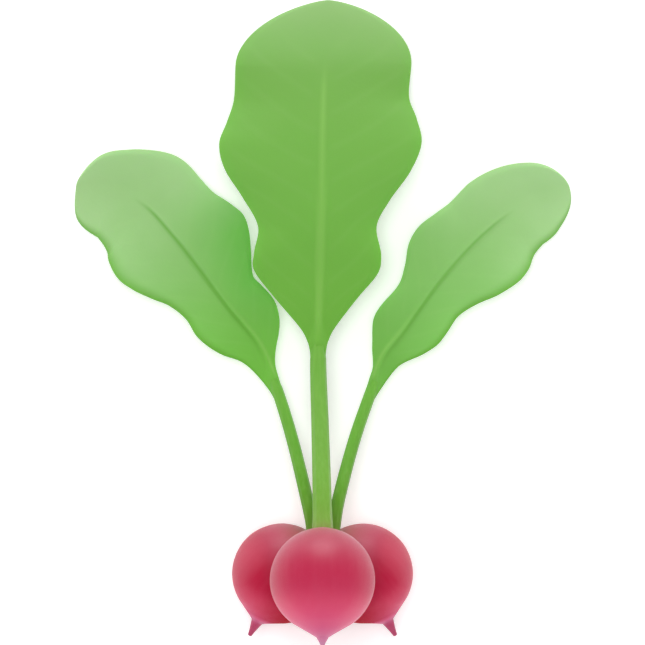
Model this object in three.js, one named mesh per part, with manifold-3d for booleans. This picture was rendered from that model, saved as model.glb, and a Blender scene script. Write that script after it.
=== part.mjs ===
// A bunch of three radishes lying on a table: two roots side by side, the third resting in the groove
// between them, each with one stem and one broad leaf with a wavy edge.
// Millimetres, +Z up. The stems run along +Y, away from the tail roots. The origin is the centre of the
// bunch's bounding box, on the table.
import * as THREE from 'three';
import { LoftGeometry } from 'three/addons/geometries/LoftGeometry.js';
import { mergeVertices } from 'three/addons/utils/BufferGeometryUtils.js';
import initManifold from 'manifold-3d';

const manifold = await initManifold();
manifold.setup();

// ---- driving dimensions ----

const GAP = 0.3; // left between pieces that touch

const ROOT = {
  topRadius: 15.6, // the root that lies on the other two
  lowerRadius: 15.05, // each root that lies on the table
  spacing: 24.3, // between the centres of the two lower roots
  topTailLength: 4.4, // how far the tail root stands out of the round part
  lowerTailLength: 6.6,
  tailBaseRadius: 1.8,
  tailTipRadius: 0.7,
  tailEndShare: 0.6, // share of that radius that is flat at the tail's very end
  flareAngle: 32, // from the tail's axis to where the flare leaves the round part
  flareLength: 1.6, // how far the flare reaches out past the round part
  flarePull: { out: 1.2, back: 0.75 }, // shares of tailBaseRadius and flareLength that shape its hollow
  curveSteps: 8, // straight steps in each curve of the profile
  cheekStart: 5, // where a lower root starts to flatten against its neighbour, from its centre
  neckHeight: 0.4, // the low collar that the stem stands on
  neckMargin: 0.5, // how far the collar stands out round the stem's foot
  restFlat: 0.15, // depth of the flat that a lower root rests on
  bendShare: 0.6, // share of the radius, each side of the centre, over which a root bends
  topCrown: { turn: 0, rise: -29.5 }, // headings of crowns and tails, in degrees from +Y and from level
  topTail: { turn: 180, rise: 12 },
  lowerCrown: { turn: -38, rise: 18 }, // of the right root; the left one's is its mirror image
  lowerTail: { turn: 152.5, rise: -10 },
  sides: 26,
};

const STEM = {
  topRadius: { foot: 2.9, blade: 2.4 },
  sideRadius: { foot: 2.0, blade: 1.75 },
  ribHeight: 1.1, // how far the midrib stands above the leaf where the leaf starts
  ribEnd: 0.84, // share of the leaf's length at which the midrib fades out
  ribTipShare: 0.16, // width of the midrib at its end, as a share of its width at the leaf's foot
  notch: 5, // length over which the stem's underside gives way to the leaf
  notchEnd: 0.5, // how far before the leaf's foot it has given way
  slopeStep: 0.5, // length over which the stem's slope is measured
  undersideBow: 0.06, // how far the midrib's underside bows down towards the leaf
  ribTaper: 2.2, // more makes the midrib narrow sooner
  ribFade: 0.75, // share of its height that the midrib loses by its end
  crownPull: 0.85, // how closely the stem's first section follows the crown's heading
  crownRun: 1.5, // length over which it lets go of that heading, in foot radii
  sides: 12,
  steps: 44,
};

const BLADE = {
  thickness: 0.9, // beside the midrib
  edgeThickness: 0.5,
  edgeRise: 0.1, // how far the leaf's edges stay off the table where the leaf lies on it
  spreadBy: 0.25, // share of the leaf's length by which its camber is full
  tipFrom: 0.8, // share of the leaf's length from which its stations close up
  stations: 30,
  tipStations: 10,
  tipAngle: 86, // how far round the tip's quarter turn the last station lies
};

// Each leaf's outline is drawn in percent: along is the share of the leaf's length from its foot, reach
// the share of its greatest half-width, lift the height of the edge's wave in tenths of a millimetre.
// Past the last row the edge closes on the tip: fullness 0.5 is a round end, more is a pointed one, and
// taper is how fast the edge also draws in there, in percent of half-width per percent of length.
const PLANTS = [
  {
    name: 'top',
    stem: {
      length: 51.1,
      radius: STEM.topRadius,
      route: [[-0.004, 0.2], [-0.015, 0.6], [-0.0264, 1]],
      heights: [[0.2, 30.5], [0.5, 22.5], [0.8, 16.5], [1, 14.5]],
    },
    leaf: {
      length: 108.3,
      halfWidth: 31,
      camber: -2.5, // height of the edges over the midrib
      route: [[0.006, 0.277], [0.01, 0.443], [0.015, 0.72], [0.022, 0.86], [0.029, 1]],
      heights: [[0.2, 15.2], [0.42, 17.5], [0.6, 16], [0.8, 9.5], [0.92, 3.6], [1, 0.3]],
      left: {
        fullness: 0.72,
        taper: 0,
        edge: [[0, 8, 0], [8, 17, 0], [17, 45, 4], [24, 64, 10], [29, 64, 8], [36, 61, -6], [44, 76.5, -4],
          [52, 94.5, 10], [59, 100, 14], [65, 93, 2], [71, 87, -8], [80, 87, 4]],
      },
      right: {
        fullness: 0.6,
        taper: 0,
        edge: [[0, 8, 0], [8, 15, 0], [17, 37.5, 4], [24, 56.5, 10], [29, 59, 8], [37, 54, -6],
          [44, 66, -4], [52, 85.5, 10], [60, 96, 14], [67, 91, 2], [73, 83.5, -10], [83, 84, 4]],
      },
    },
  },
  {
    name: 'left',
    side: -1,
    stem: {
      length: 45,
      radius: STEM.sideRadius,
      route: [[0, 0.054], [-0.04, 0.24], [-0.14, 0.64], [-0.243, 0.97]],
      heights: [[0.25, 17.5], [0.6, 11], [1, 7]],
    },
    leaf: {
      length: 91,
      halfWidth: 20.8,
      camber: 3,
      route: [[-0.058, 0.143], [-0.159, 0.269], [-0.26, 0.4], [-0.34, 0.501], [-0.436, 0.604],
        [-0.546, 0.66], [-0.668, 0.673]],
      heights: [[0.15, 6.6], [0.35, 7.2], [0.6, 5.2], [0.85, 1.4], [1, 0.3]],
      left: {
        fullness: 0.26,
        taper: 0,
        edge: [[0, 8, 0], [11, 30, 0], [20.5, 51.5, 4], [30, 62, 8], [37, 59.5, -4], [44, 67, -4],
          [50, 82, 4], [55, 93, 10], [62, 100.5, 10], [68, 97, 0], [76, 88, -6], [88, 73, 0]],
      },
      right: {
        fullness: 0.5,
        taper: 2.45,
        edge: [[0, 8, 0], [8, 10.5, 0], [12.5, 21, 2], [18.5, 46, 6], [23.5, 57, 8], [30.5, 57.5, 0],
          [35, 56.5, -6], [42, 76, -2], [48, 92.5, 8], [53, 99, 10], [57, 95.5, 6], [63.5, 86.5, -4],
          [69, 84.5, -6], [76, 86, -4], [83, 71.8, 0], [90, 54.6, 0]],
      },
    },
  },
  {
    name: 'right',
    side: 1,
    stem: {
      length: 45,
      radius: STEM.sideRadius,
      route: [[0.008, 0.054], [0.042, 0.24], [0.15, 0.636], [0.264, 0.962]],
      heights: [[0.25, 17.5], [0.6, 11], [1, 7]],
    },
    leaf: {
      length: 88.8,
      halfWidth: 17.9,
      camber: 3,
      route: [[0.041, 0.112], [0.104, 0.194], [0.2135, 0.3457], [0.307, 0.455], [0.3856, 0.5334],
        [0.47, 0.5995], [0.572, 0.657], [0.674, 0.695]],
      heights: [[0.15, 6.6], [0.35, 7.2], [0.6, 5.2], [0.85, 1.4], [1, 0.3]],
      left: {
        fullness: 0.55,
        taper: 0,
        edge: [[0, 10, 0], [8, 10, 0], [13, 26, 2], [19, 51, 6], [25, 56, 8], [35, 52, -6], [41, 63, -4],
          [47, 81, 6], [53, 87, 10], [60, 81, 2], [65, 77.5, -6], [72, 81.5, 0]],
      },
      right: {
        fullness: 0.5,
        taper: 0,
        edge: [[0, 10, 0], [8, 24, 0], [16, 38, 4], [25, 59, 8], [31, 61.5, 4], [38, 61, -4], [46, 73, -2],
          [54, 90, 8], [63, 99, 10], [70, 95, 2], [76, 82, -6], [82, 74, -2]],
      },
    },
  },
];

// ---- layout of the roots ----

const degrees = THREE.MathUtils.degToRad;
const smooth = THREE.MathUtils.smoothstep;

// A unit vector that heads away from +Y by turn, towards +X, and rises by rise.
function heading(turn, rise) {
  const flat = Math.cos(degrees(rise));
  return new THREE.Vector3(
    Math.sin(degrees(turn)) * flat,
    Math.cos(degrees(turn)) * flat,
    Math.sin(degrees(rise)),
  );
}

const LOWER_Y = -13.05; // from where the stems gather to the lower roots' centres
const TOP_Y = -13.65;

const lowerRootHeight = ROOT.lowerRadius - ROOT.restFlat;

// The top root touches both lower ones, so its height follows from their sizes and spacing.
function topRootHeight() {
  const reach = ROOT.topRadius + ROOT.lowerRadius + GAP;
  const flat = Math.hypot(ROOT.spacing / 2, TOP_Y - LOWER_Y);
  return lowerRootHeight + Math.sqrt(reach ** 2 - flat ** 2);
}

function rootOf(plant) {
  if (!plant.side) {
    return {
      radius: ROOT.topRadius,
      centre: new THREE.Vector3(0, TOP_Y, topRootHeight()),
      tailLength: ROOT.topTailLength,
      crown: heading(ROOT.topCrown.turn, ROOT.topCrown.rise),
      tail: heading(ROOT.topTail.turn, ROOT.topTail.rise),
    };
  }
  return {
    radius: ROOT.lowerRadius,
    centre: new THREE.Vector3((plant.side * ROOT.spacing) / 2, LOWER_Y, lowerRootHeight),
    tailLength: ROOT.lowerTailLength,
    crown: heading(ROOT.lowerCrown.turn * plant.side, ROOT.lowerCrown.rise),
    tail: heading(ROOT.lowerTail.turn * plant.side, ROOT.lowerTail.rise),
    cheek: new THREE.Vector3(-plant.side, 0, 0),
  };
}

// ---- roots ----

// The half outline of a root about +Z: collar, round part, hollow flare and tail, tip at the bottom.
function rootProfile(radius, tailLength, neckRadius) {
  const neckTop = radius + ROOT.neckHeight;
  const neckAngle = Math.asin((neckRadius + 2 * ROOT.neckHeight) / radius);
  const flareAngle = degrees(ROOT.flareAngle);
  const tailTip = -(radius + tailLength);

  const outline = new THREE.Path();
  outline.moveTo(ROOT.tailTipRadius * ROOT.tailEndShare, tailTip);
  outline.quadraticCurveTo(ROOT.tailTipRadius, tailTip, ROOT.tailTipRadius, tailTip + ROOT.tailTipRadius);
  outline.lineTo(ROOT.tailBaseRadius, -(radius + ROOT.flareLength));
  outline.quadraticCurveTo(
    ROOT.tailBaseRadius * ROOT.flarePull.out,
    -(radius + ROOT.flareLength * ROOT.flarePull.back),
    radius * Math.sin(flareAngle),
    -radius * Math.cos(flareAngle),
  );
  outline.absarc(0, 0, radius, flareAngle - Math.PI / 2, Math.PI / 2 - neckAngle, false);
  outline.lineTo(neckRadius, neckTop);

  const points = outline.getPoints(ROOT.curveSteps);
  return [new THREE.Vector2(0, tailTip), ...points, new THREE.Vector2(0, neckTop)];
}

function moveVertices(geometry, move) {
  const position = geometry.getAttribute('position');
  const point = new THREE.Vector3();
  for (let i = 0; i < position.count; i++) {
    move(point.fromBufferAttribute(position, i));
    position.setXYZ(i, point.x, point.y, point.z);
  }
}

// Turns the crown and the tail towards their own headings. The middle is round, so it keeps its shape.
function bendRoot(geometry, radius, crownTurn, tailTurn) {
  const reach = radius * ROOT.bendShare;
  const turn = new THREE.Quaternion();
  moveVertices(geometry, (point) => {
    turn.slerpQuaternions(tailTurn, crownTurn, smooth(point.z, -reach, reach));
    point.applyQuaternion(turn);
  });
}

// Presses a root in along one heading: what stood out past cheekStart ends before the limit.
function flattenCheek(geometry, cheek, limit) {
  const room = limit - ROOT.cheekStart;
  moveVertices(geometry, (point) => {
    const past = point.dot(cheek) - ROOT.cheekStart;
    if (past > 0) point.addScaledVector(cheek, room * Math.tanh(past / room) - past);
  });
}

// Cuts a closed geometry off flat below a level.
function cutFlat(geometry, level) {
  geometry.deleteAttribute('normal');
  geometry.deleteAttribute('uv');
  const joined = mergeVertices(geometry, 1e-3);
  const solid = new manifold.Manifold(
    new manifold.Mesh({
      numProp: 3,
      vertProperties: Float32Array.from(joined.getAttribute('position').array),
      triVerts: Uint32Array.from(joined.index.array),
    }),
  );
  const cut = solid.trimByPlane([0, 0, 1], level).getMesh();
  const result = new THREE.BufferGeometry();
  result.setAttribute('position', new THREE.BufferAttribute(cut.vertProperties, 3));
  result.setIndex(new THREE.BufferAttribute(cut.triVerts, 1));
  result.computeVertexNormals();
  return result;
}

function rootMesh(plant, material) {
  const root = rootOf(plant);
  const neckRadius = plant.stem.radius.foot + ROOT.neckMargin;
  let geometry = new THREE.LatheGeometry(rootProfile(root.radius, root.tailLength, neckRadius), ROOT.sides);
  geometry.rotateX(Math.PI / 2);
  const up = new THREE.Vector3(0, 0, 1);
  bendRoot(
    geometry,
    root.radius,
    new THREE.Quaternion().setFromUnitVectors(up, root.crown),
    new THREE.Quaternion().setFromUnitVectors(up, root.tail.clone().negate()),
  );
  if (root.cheek) {
    flattenCheek(geometry, root.cheek, (ROOT.spacing - GAP) / 2);
    geometry = cutFlat(geometry, -lowerRootHeight);
  }
  const mesh = new THREE.Mesh(geometry, material);
  mesh.name = `${plant.name}_radish`;
  mesh.position.copy(root.centre);
  return mesh;
}

// ---- the spine that a stem and its leaf share ----

const SPINE_STEPS = 600;

// A smooth curve through rows of [at, value].
function curveThrough(rows) {
  const at = rows.map((row) => row[0]);
  const slope = rows.map((row, i) => {
    const before = rows[Math.max(i - 1, 0)];
    const after = rows[Math.min(i + 1, rows.length - 1)];
    return (after[1] - before[1]) / (after[0] - before[0]);
  });
  return (x) => {
    let i = at.findIndex((limit) => x <= limit) - 1;
    if (x <= at[0]) return rows[0][1];
    if (i < 0) return rows[rows.length - 1][1];
    const span = at[i + 1] - at[i];
    const t = (x - at[i]) / span;
    const [a, b] = [rows[i][1], rows[i + 1][1]];
    return (
      (2 * t ** 3 - 3 * t ** 2 + 1) * a +
      (t ** 3 - 2 * t ** 2 + t) * span * slope[i] +
      (3 * t ** 2 - 2 * t ** 3) * b +
      (t ** 3 - t ** 2) * span * slope[i + 1]
    );
  };
}

// The line from the crown to the leaf's tip: its plan as a curve on the table, its height by stations.
function spineOf(plant) {
  const root = rootOf(plant);
  const foot = root.crown
    .clone()
    .multiplyScalar(root.radius + ROOT.neckHeight + GAP)
    .add(root.centre);
  const { stem, leaf } = plant;
  const stemPoints = stem.route.map(([x, y]) => [foot.x + x * stem.length, foot.y + y * stem.length]);
  const [baseX, baseY] = stemPoints[stemPoints.length - 1];
  const leafPoints = leaf.route.map(([x, y]) => [baseX + x * leaf.length, baseY + y * leaf.length]);
  const points = [[foot.x, foot.y], ...stemPoints, ...leafPoints];
  const plan = new THREE.CatmullRomCurve3(points.map(([x, y]) => new THREE.Vector3(x, y, 0)));
  plan.arcLengthDivisions = SPINE_STEPS;

  const total = plan.getLength();
  const bladeStep = Math.round((SPINE_STEPS * stem.route.length) / (points.length - 1));
  const bladeStart = plan.getLengths()[bladeStep];
  const bladeLength = total - bladeStart;
  const height = curveThrough([
    [0, foot.z],
    ...stem.heights.map(([share, z]) => [share * bladeStart, z]),
    ...leaf.heights.map(([share, z]) => [bladeStart + share * bladeLength, z]),
  ]);
  return { plan, total, bladeStart, bladeLength, height, foot, crown: root.crown };
}

// The point, the level heading and the level sideways heading at a distance along a spine.
function frameAt(spine, along) {
  const share = Math.min(along / spine.total, 1);
  const point = spine.plan.getPointAt(share);
  point.z = spine.height(along);
  const ahead = spine.plan.getTangentAt(share);
  return { point, ahead, toLeft: new THREE.Vector3(-ahead.y, ahead.x, 0) };
}

// ---- stems ----

// Ring of a stem: an upper half-oval over a lower one, both on the same level line.
function stemRing(centre, across, up, halfWidth, rise, depth) {
  return Array.from({ length: STEM.sides }, (_, k) => {
    const angle = (2 * Math.PI * k) / STEM.sides;
    const tall = Math.sin(angle) > 0 ? rise : depth;
    return centre
      .clone()
      .addScaledVector(across, halfWidth * Math.cos(angle))
      .addScaledVector(up, tall * Math.sin(angle));
  });
}

// The stem stands on the crown, then runs on over the leaf as the midrib, which narrows to its end.
function stemMesh(plant, material) {
  const spine = spineOf(plant);
  const { foot, blade } = plant.stem.radius;
  const { bladeStart, bladeLength } = spine;
  const end = bladeStart + bladeLength * STEM.ribEnd;
  const level = BLADE.thickness / 2 + GAP;

  const rings = [];
  for (let i = 0; i <= STEM.steps; i++) {
    const along = (end * i) / STEM.steps;
    const { point, ahead, toLeft } = frameAt(spine, along);
    const onBlade = Math.max(0, (along - bladeStart) / (end - bladeStart));
    const taper = THREE.MathUtils.lerp(STEM.ribTipShare, 1, (1 - onBlade) ** STEM.ribTaper);
    const fade = 1 - STEM.ribFade * onBlade ** 2;
    const radius = THREE.MathUtils.lerp(foot, blade, Math.min(along / bladeStart, 1));
    const underside = smooth(along, bladeStart - STEM.notch, bladeStart - STEM.notchEnd);
    const rise = along < bladeStart ? radius : Math.max(STEM.ribHeight * fade, (radius - level) * taper);

    const climb = spine.height(along + STEM.slopeStep) - spine.height(along);
    const direction = ahead.clone().setZ(climb / STEM.slopeStep);
    const leave = 1 - smooth(along, 0, foot * STEM.crownRun);
    direction.normalize().lerp(spine.crown, leave * STEM.crownPull).normalize();
    const across = toLeft.clone().addScaledVector(direction, -toLeft.dot(direction)).normalize();
    const up = new THREE.Vector3().crossVectors(direction, across);
    point.addScaledVector(up, level * underside);
    rings.push(
      stemRing(
        point,
        across,
        up,
        radius * taper,
        THREE.MathUtils.lerp(radius, rise, underside),
        THREE.MathUtils.lerp(radius, STEM.undersideBow, underside),
      ),
    );
  }
  const mesh = new THREE.Mesh(new LoftGeometry(rings, { capStart: true, capEnd: true }), material);
  mesh.name = `${plant.name}_stem`;
  return mesh;
}

// ---- leaves ----

// Half-width and lift of one side of a leaf at a share of its length.
function edgeOf(side, halfWidth) {
  const reach = curveThrough(side.edge.map(([along, width]) => [along / 100, (width / 100) * halfWidth]));
  const lift = curveThrough(side.edge.map((row) => [row[0] / 100, row[2] / 10]));
  const roundFrom = side.edge[side.edge.length - 1][0] / 100;
  return (share) => {
    const past = Math.max(0, share - roundFrom);
    const close = past / (1 - roundFrom);
    const narrowing = Math.max(0, 1 - close ** 2) ** side.fullness;
    const drawnIn = side.taper * past * halfWidth;
    return { reach: (reach(share) - drawnIn) * narrowing, lift: lift(share) * narrowing };
  };
}

// Stations from the leaf's foot to its tip, closer together where the tip rounds off.
function bladeStations() {
  const { stations, tipStations, tipFrom, tipAngle } = BLADE;
  const straight = Array.from({ length: stations }, (_, i) => (tipFrom * i) / stations);
  const round = Array.from({ length: tipStations + 1 }, (_, i) => {
    const angle = (degrees(tipAngle) * i) / tipStations;
    return tipFrom + (1 - tipFrom) * Math.sin(angle);
  });
  return [...straight, ...round];
}

function leafMesh(plant, material) {
  const spine = spineOf(plant);
  const { leaf } = plant;
  const left = edgeOf(leaf.left, leaf.halfWidth);
  const right = edgeOf(leaf.right, leaf.halfWidth);
  const acrossShares = [-1, -0.9, -0.7, -0.45, -0.2, 0, 0.2, 0.45, 0.7, 0.9, 1];

  const rings = bladeStations().map((share) => {
    const { point, toLeft } = frameAt(spine, spine.bladeStart + share * spine.bladeLength);
    const spread = smooth(share, 0, BLADE.spreadBy);
    const row = acrossShares.map((t) => {
      const edge = (t > 0 ? left : right)(share);
      const rim = BLADE.edgeThickness + (BLADE.thickness - BLADE.edgeThickness) * (1 - t * t);
      const middle = point.clone().addScaledVector(toLeft, t * edge.reach);
      const bend = (leaf.camber * spread * edge.reach) / leaf.halfWidth + edge.lift;
      middle.z = Math.max(middle.z + bend * t * t, rim / 2 + BLADE.edgeRise * t * t);
      return { middle, rim };
    });
    const above = row.map(({ middle, rim }) => middle.clone().setZ(middle.z + rim / 2)).reverse();
    const below = row.map(({ middle, rim }) => middle.clone().setZ(middle.z - rim / 2));
    return [...above, ...below];
  });
  const mesh = new THREE.Mesh(new LoftGeometry(rings, { capStart: true, capEnd: true }), material);
  mesh.name = `${plant.name}_leaf`;
  return mesh;
}

// ---- the bunch ----

const rootSkin = new THREE.MeshStandardMaterial({ color: 0xc43e58, roughness: 0.5, metalness: 0 });
const stemSkin = new THREE.MeshStandardMaterial({ color: 0x78b04a, roughness: 0.5, metalness: 0 });
const leafSkin = new THREE.MeshStandardMaterial({ color: 0x80bc58, roughness: 0.6, metalness: 0 });

const layout = new THREE.Group();
for (const plant of PLANTS) {
  layout.add(rootMesh(plant, rootSkin), stemMesh(plant, stemSkin), leafMesh(plant, leafSkin));
}

// The layout is drawn from where the stems gather; the bunch's own origin is under its middle.
const box = new THREE.Box3().setFromObject(layout, true);
const middle = box.getCenter(new THREE.Vector3());
layout.position.set(-middle.x, -middle.y, -box.min.z);

const bunch = new THREE.Group();
bunch.add(layout);
bunch.updateMatrixWorld(true);

export default bunch;
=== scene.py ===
import math
import bpy
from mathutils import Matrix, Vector, noise


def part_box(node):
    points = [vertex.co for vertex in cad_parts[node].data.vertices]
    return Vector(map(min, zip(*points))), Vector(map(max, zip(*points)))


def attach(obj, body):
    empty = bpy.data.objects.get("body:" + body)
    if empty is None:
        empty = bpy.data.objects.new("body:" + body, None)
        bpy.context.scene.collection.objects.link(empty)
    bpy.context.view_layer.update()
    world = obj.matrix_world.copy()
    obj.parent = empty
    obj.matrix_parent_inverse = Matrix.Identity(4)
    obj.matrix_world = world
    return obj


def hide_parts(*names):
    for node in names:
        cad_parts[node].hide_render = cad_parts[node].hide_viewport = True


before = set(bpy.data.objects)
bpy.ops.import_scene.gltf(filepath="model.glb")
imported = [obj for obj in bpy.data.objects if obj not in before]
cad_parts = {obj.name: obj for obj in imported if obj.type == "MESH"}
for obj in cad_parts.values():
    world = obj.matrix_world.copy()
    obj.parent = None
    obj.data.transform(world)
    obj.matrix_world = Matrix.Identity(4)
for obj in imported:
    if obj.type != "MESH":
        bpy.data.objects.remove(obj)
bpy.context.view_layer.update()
mm = 0.001
print("frame loaded:", len(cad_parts), "nodes")


# small helpers

def smooth(x, low, high):
    t = min(max((x - low) / (high - low), 0), 1)
    return t * t * (3 - 2 * t)


def mix(a, b, t):
    return a + (b - a) * t


def hill(x, width):  # 1 at its middle, fading out over width
    return math.exp(-(x / width) ** 2)


def heading(turn, rise):  # away from +Y by turn towards +X, and up by rise, in degrees
    turn, rise = math.radians(turn), math.radians(rise)
    flat = math.cos(rise)
    return Vector((math.sin(turn) * flat, math.cos(turn) * flat, math.sin(rise)))


def curveThrough(rows):  # a smooth function through (at, value) rows
    last = len(rows) - 1
    slopes = []
    for i in range(last + 1):
        before, after = rows[max(i - 1, 0)], rows[min(i + 1, last)]
        slopes.append((after[1] - before[1]) / (after[0] - before[0]))

    def value(x):
        if x <= rows[0][0]:
            return rows[0][1]
        if x >= rows[last][0]:
            return rows[last][1]
        i = max(k for k in range(last) if rows[k][0] <= x)
        span = rows[i + 1][0] - rows[i][0]
        t = (x - rows[i][0]) / span
        return (
            (2 * t ** 3 - 3 * t ** 2 + 1) * rows[i][1]
            + (t ** 3 - 2 * t ** 2 + t) * span * slopes[i]
            + (3 * t ** 2 - 2 * t ** 3) * rows[i + 1][1]
            + (t ** 3 - t ** 2) * span * slopes[i + 1]
        )

    return value


def meshPiece(name, points, faces, material):
    mesh = bpy.data.meshes.new(name)
    mesh.from_pydata(points, [], faces)
    mesh.validate()
    mesh.shade_smooth()
    mesh.materials.append(material)
    piece = bpy.data.objects.new(name, mesh)
    bpy.context.scene.collection.objects.link(piece)
    return piece


def paint(piece, name, values):  # a number or a vector kept at every point of the mesh
    kind = "FLOAT_VECTOR" if hasattr(values[0], "__len__") else "FLOAT"
    attribute = piece.data.attributes.new(name, kind, "POINT")
    flat = [x for v in values for x in v] if kind == "FLOAT_VECTOR" else values
    attribute.data.foreach_set("vector" if kind == "FLOAT_VECTOR" else "value", flat)


def closedSheet(rings):  # faces between rings of equal length, with both ends closed by a fan of quads
    count = len(rings[0])
    points = [p for ring in rings for p in ring]
    faces = []
    for i in range(len(rings) - 1):
        for k in range(count):
            n = (k + 1) % count
            a, b = i * count, (i + 1) * count
            faces.append((a + k, a + n, b + n, b + k))
    end = (len(rings) - 1) * count
    half = count // 2
    for k in range(half - 1):
        faces.append((count - 1 - k, count - 2 - k, k + 1, k))
        faces.append((end + k, end + k + 1, end + count - 2 - k, end + count - 1 - k))
    return points, faces


# material helpers

def newMaterial(name, roughness, **sockets):
    material = bpy.data.materials.new(name)
    material.use_nodes = True
    shader = material.node_tree.nodes["Principled BSDF"]
    shader.inputs["Roughness"].default_value = roughness
    for socket, value in sockets.items():
        shader.inputs[socket.replace("_", " ")].default_value = value
    return material, material.node_tree, shader


def node(tree, kind, inputs=None, **settings):
    made = tree.nodes.new(kind)
    for key, value in settings.items():
        setattr(made, key, value)
    for key, value in (inputs or {}).items():
        if isinstance(value, bpy.types.NodeSocket):
            tree.links.new(value, made.inputs[key])
        else:
            made.inputs[key].default_value = value
    return made


def rgb(red, green, blue):  # 0 to 255 as on a colour card, to the shader's linear colour
    def linear(c):
        c /= 255
        return c / 12.92 if c <= 0.04045 else ((c + 0.055) / 1.055) ** 2.4
    return (linear(red), linear(green), linear(blue), 1)


def ramp(tree, factor, stops):
    made = node(tree, "ShaderNodeValToRGB", {"Fac": factor})
    made.color_ramp.interpolation = "B_SPLINE"
    elements = made.color_ramp.elements
    elements[0].position, elements[0].color = stops[0]
    elements[1].position, elements[1].color = stops[-1]
    for position, color in stops[1:-1]:
        elements.new(position).color = color
    return made.outputs["Color"]


def blendColour(tree, factor, first, second):
    made = node(tree, "ShaderNodeMix", data_type="RGBA", blend_type="MIX")
    for key, value in ((0, factor), (6, first), (7, second)):
        if isinstance(value, bpy.types.NodeSocket):
            tree.links.new(value, made.inputs[key])
        else:
            made.inputs[key].default_value = value
    return made.outputs[2]


def mapRange(tree, value, fromLow, fromHigh, toLow=0.0, toHigh=1.0):
    made = node(tree, "ShaderNodeMapRange", {0: value, 1: fromLow, 2: fromHigh, 3: toLow, 4: toHigh})
    return made.outputs[0]


def times(tree, first, second):
    return node(tree, "ShaderNodeMath", {0: first, 1: second}, operation="MULTIPLY").outputs[0]


def plus(tree, first, second):
    return node(tree, "ShaderNodeMath", {0: first, 1: second}, operation="ADD").outputs[0]


def noiseOver(tree, place, scale, detail):
    given = {"Vector": place, "Scale": scale, "Detail": detail}
    return node(tree, "ShaderNodeTexNoise", given).outputs["Fac"]


def stretched(tree, place, scale):
    return node(tree, "ShaderNodeMapping", {"Vector": place, "Scale": scale}).outputs[0]


# radish roots

# lengths in millimetres, angles in degrees
rootShape = {
    "topTailLength": 4.4,
    "lowerTailLength": 6.6,
    "tailBaseRadius": 1.8,
    "tailTipRadius": 0.7,
    "tailPointRadius": 0.12,
    "tailSwell": 1.15,  # more keeps the tail slim for longer
    "flareAngle": 32,  # from the tail's axis to where the flare leaves the ball
    "flareLength": 1.6,
    "flareOut": 1.2,  # shares of the tail's base and of the flare that set how hollow it is
    "flareBack": 0.75,
    "neckHeight": 0.4,
    "neckMargin": 0.5,  # the collar stands out this far round the stem's foot
    "collarWidth": 1.1,  # from the collar to where it leaves the ball
    "collarOut": 0.35,  # how far out and down the hollow round the collar is pulled
    "collarDown": 0.25,
    "lipHeight": 0.1,  # the collar's rounded lip
    "lipWidth": 0.3,
    "dish": 0.15,  # how deep the collar's top is hollowed
    "bendShare": 0.6,  # share of the radius, each side of the middle, over which a root bends
    "cheekStart": 5,  # how far from its middle a lower root starts to flatten against the other
    "restFlat": 0.15,
    "topCrown": (0, -29.5),  # turn from +Y and rise
    "topTail": (180, 12),
    "lowerCrown": (-38, 18),  # of the right root
    "lowerTail": (-27.5, -10),  # its turn counted from straight back
    "sides": 120,
    "tipSteps": 8,
    "tailSteps": 18,
    "flareSteps": 24,
    "ballSteps": 70,
    "collarSteps": 8,
    "lipSteps": 4,
    "unevenness": 0.07,
    "unevenScale": 0.09,
    "unevenFade": (1, 4),  # none on the axis, full this far from it
    "tailRings": 0.06,
    "tailRingPitch": 1.7,
    "tailRingWander": 0.2,
    "tailRingFade": (0.2, 0.8),
    "tailRingEnd": (-2.2, 0.6),  # from the ball's end, from full rings to none
}
rootGap = 0.3  # between pieces that lie against each other


def rootProfile(radius, tailLength, neckRadius):  # (radius, height) points from the tail's tip to the collar
    s = rootShape
    tip, tipRadius = -(radius + tailLength), s["tailTipRadius"]
    flareFoot = -(radius + s["flareLength"])
    flare = math.radians(s["flareAngle"])
    neckTop = radius + s["neckHeight"]
    rise = math.asin((neckRadius + s["collarWidth"]) / radius)

    def bow(a, b, c, count):
        for i in range(count):
            t = i / count
            yield tuple(mix(mix(a[k], b[k], t), mix(b[k], c[k], t), t) for k in (0, 1))

    tipFoot = tip + tipRadius
    profile = [(0, tip)]
    profile += list(bow((s["tailPointRadius"], tip), (tipRadius, tip), (tipRadius, tipFoot), s["tipSteps"]))
    baseRadius = s["tailBaseRadius"]
    for i in range(s["tailSteps"]):
        t = i / s["tailSteps"]
        profile.append((mix(tipRadius, baseRadius, t ** s["tailSwell"]), mix(tipFoot, flareFoot, t)))
    onBall = (radius * math.sin(flare), -radius * math.cos(flare))
    bend = (baseRadius * s["flareOut"], -(radius + s["flareLength"] * s["flareBack"]))
    profile += list(bow((baseRadius, flareFoot), bend, onBall, s["flareSteps"]))
    for i in range(s["ballSteps"]):
        angle = mix(flare, math.pi - rise, i / s["ballSteps"])
        profile.append((radius * math.sin(angle), -radius * math.cos(angle)))
    shoulder = (radius * math.sin(rise), radius * math.cos(rise))
    hollow = (neckRadius + s["collarOut"], radius - s["collarDown"])
    lip = (neckRadius, neckTop - s["lipHeight"])
    profile += list(bow(shoulder, hollow, lip, s["collarSteps"]))
    profile += list(bow(lip, (neckRadius, neckTop), (neckRadius - s["lipWidth"], neckTop), s["lipSteps"]))
    profile += [(neckRadius * 0.5, neckTop - s["lipHeight"]), (0, neckTop - s["dish"])]
    return profile


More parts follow.
